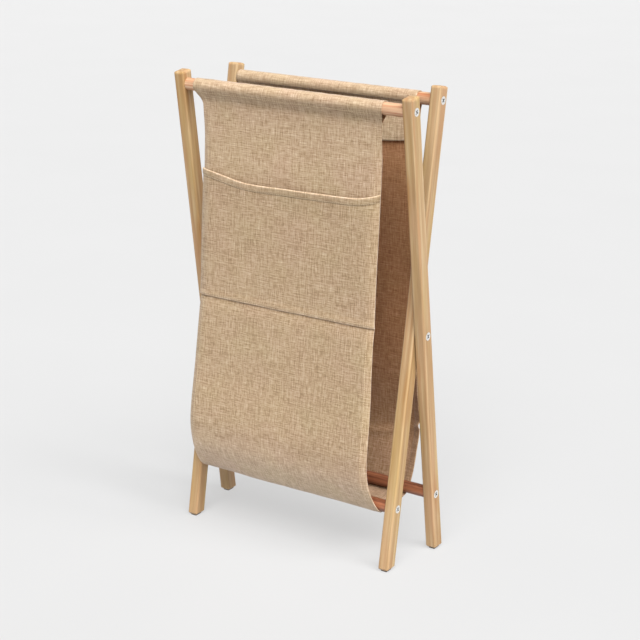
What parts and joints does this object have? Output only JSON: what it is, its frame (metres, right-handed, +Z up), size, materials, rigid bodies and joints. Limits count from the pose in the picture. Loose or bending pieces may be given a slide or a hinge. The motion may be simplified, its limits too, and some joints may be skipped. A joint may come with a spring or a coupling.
{
  "type": "magazine rack",
  "caption": "Folding floor rack for magazines: crossed wooden legs joined by round rods carry a linen sling with a front pocket.",
  "frame": {"origin": "on the floor, under the middle of the rack's bounding box", "axes": "+X to the right along the rods, +Y to the rear, +Z up; the pocket is on the -Y side"},
  "size_m": [0.4, 0.1542, 0.6939],
  "materials": {
    "wood_leg": "planed pale pine, clear matt varnish",
    "wood_rod": "turned reddish hardwood dowel, clear satin varnish",
    "zinc_steel": "zinc-plated steel",
    "brass_insert": "plain brass",
    "pad_rubber": "matt dark rubber",
    "linen": "coarse beige linen weave"
  },
  "bodies": {
    "outer_frame": {"outer_leg_left": "wood_leg", "outer_leg_right": "wood_leg", "front_top_rod": "wood_rod", "rear_bottom_rod": "wood_rod", "outer_frame_screws": "zinc_steel", "rear_foot_pads": "pad_rubber", "front_sleeve": "linen", "front_panel": "linen", "front_pocket": "linen", "sling_base": "linen"},
    "inner_frame": {"inner_leg_left": "wood_leg", "inner_leg_right": "wood_leg", "rear_top_rod": "wood_rod", "front_bottom_rod": "wood_rod", "inner_frame_screws": "zinc_steel", "pivot_bolt_left": "zinc_steel", "pivot_bolt_right": "zinc_steel", "pivot_washer_left": "zinc_steel", "pivot_washer_right": "zinc_steel", "pivot_insert_left": "brass_insert", "pivot_insert_right": "brass_insert", "front_foot_pads": "pad_rubber", "rear_panel": "linen", "rear_sleeve": "linen"}
  },
  "joints": [
    {"name": "frame_fold", "type": "hinge", "parent": "outer_frame", "child": "inner_frame", "pos_m": [0, 0.008, 0.34724], "axis": [1, 0, 0], "range_deg": [0, 13.4]}
  ]
}
